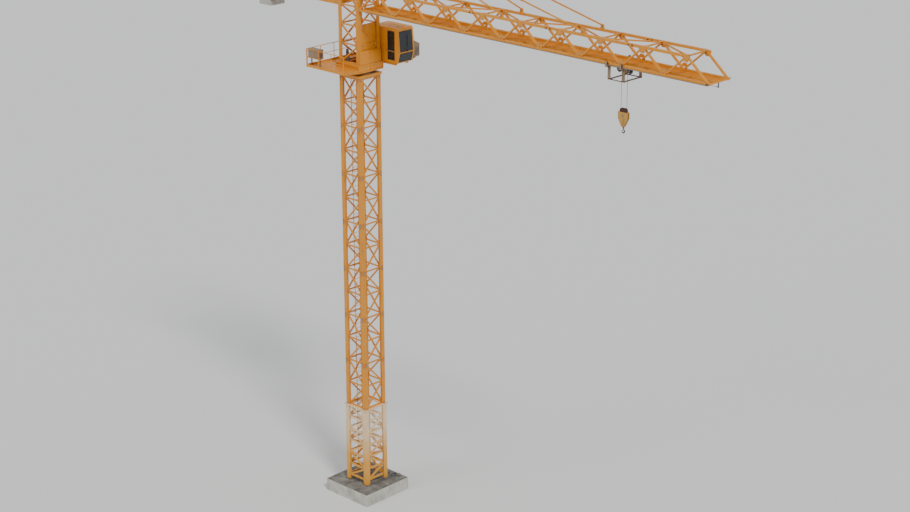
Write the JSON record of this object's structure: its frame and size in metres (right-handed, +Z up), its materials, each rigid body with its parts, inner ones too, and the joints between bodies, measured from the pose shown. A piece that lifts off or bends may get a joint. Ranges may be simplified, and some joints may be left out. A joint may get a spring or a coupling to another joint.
{
  "type": "tower crane",
  "caption": "Hammerhead tower crane: lattice mast on a concrete footing, slewing top with operator cab, box lattice jib with trolley and hook block, and a ballasted counter-jib.",
  "frame": {"origin": "centre of the footing's flat underside, on the slewing axis", "axes": "+Z up along the mast, +X along the jib towards its tip, +Y to the cab's side"},
  "size_m": [34.96, 5.03, 37.3],
  "materials": {
    "amber_paint": "satin amber machine paint, weathered",
    "cream_paint": "pale cream paint",
    "plain_steel": "bare and galvanised steel",
    "footing_concrete": "cast concrete",
    "cab_glass": "tinted safety glass"
  },
  "bodies": {
    "tower": {"foundation_slab": "footing_concrete", "foot_plates": "plain_steel", "base_legs": "cream_paint", "base_front_side": "cream_paint", "base_rear_side": "cream_paint", "base_left_side": "cream_paint", "base_right_side": "cream_paint", "base_collar": "cream_paint", "mast_legs": "amber_paint", "mast_front_side": "amber_paint", "mast_rear_side": "amber_paint", "mast_left_side": "amber_paint", "mast_right_side": "amber_paint", "mast_ladder": "amber_paint", "slewing_support": "amber_paint", "slewing_ring": "amber_paint"},
    "slewing_top": {"slewing_race": "plain_steel", "turntable": "amber_paint", "service_deck": "amber_paint", "deck_railing": "amber_paint", "deck_cabinet": "cream_paint", "head_legs": "amber_paint", "head_front_side": "amber_paint", "head_rear_side": "amber_paint", "head_left_side": "amber_paint", "head_right_side": "amber_paint", "peak_frames": "amber_paint", "peak_cross_bars": "amber_paint", "cab_frame": "amber_paint", "cab_left_wall": "amber_paint", "cab_right_wall": "amber_paint", "cab_rear_wall": "amber_paint", "cab_floor": "plain_steel", "cab_roof": "amber_paint", "cab_front_frame": "amber_paint", "cab_glass": "cab_glass", "cab_door": "amber_paint", "cab_air_unit": "cream_paint", "jib_left_side": "amber_paint", "jib_right_side": "amber_paint", "jib_top_bracing": "amber_paint", "jib_bottom_bracing": "amber_paint", "jib_rails": "plain_steel", "jib_ties": "amber_paint", "jib_rope": "plain_steel", "counter_jib_beams": "amber_paint", "counter_jib_deck": "plain_steel", "counter_jib_railing": "amber_paint", "counter_ties": "amber_paint", "ballast_blocks": "footing_concrete", "hoist_winch": "plain_steel"},
    "trolley": {"trolley_frame": "cream_paint", "trolley_wheels": "plain_steel", "trolley_sheaves": "plain_steel", "hoist_ropes": "plain_steel"},
    "hook_block": {"hook_block": "amber_paint", "block_sheave": "plain_steel"},
    "hook": {"hook": "plain_steel"}
  },
  "joints": [
    {"name": "slewing", "type": "hinge", "parent": "tower", "child": "slewing_top", "pos_m": [0, 0, 27.75], "axis": [0, 0, 1], "continuous": true},
    {"name": "trolley_travel", "type": "slide", "parent": "slewing_top", "child": "trolley", "axis": [1, 0, 0], "range_m": [-16.75, 4.95]},
    {"name": "hoist", "type": "slide", "parent": "trolley", "child": "hook_block", "axis": [0, 0, 1], "range_m": [-27.2, 1.5], "deforming": ["hoist_ropes"]},
    {"name": "hook_swivel", "type": "hinge", "parent": "hook_block", "child": "hook", "pos_m": [20.15, 0, 28.06], "axis": [0, 0, 1], "continuous": true}
  ]
}
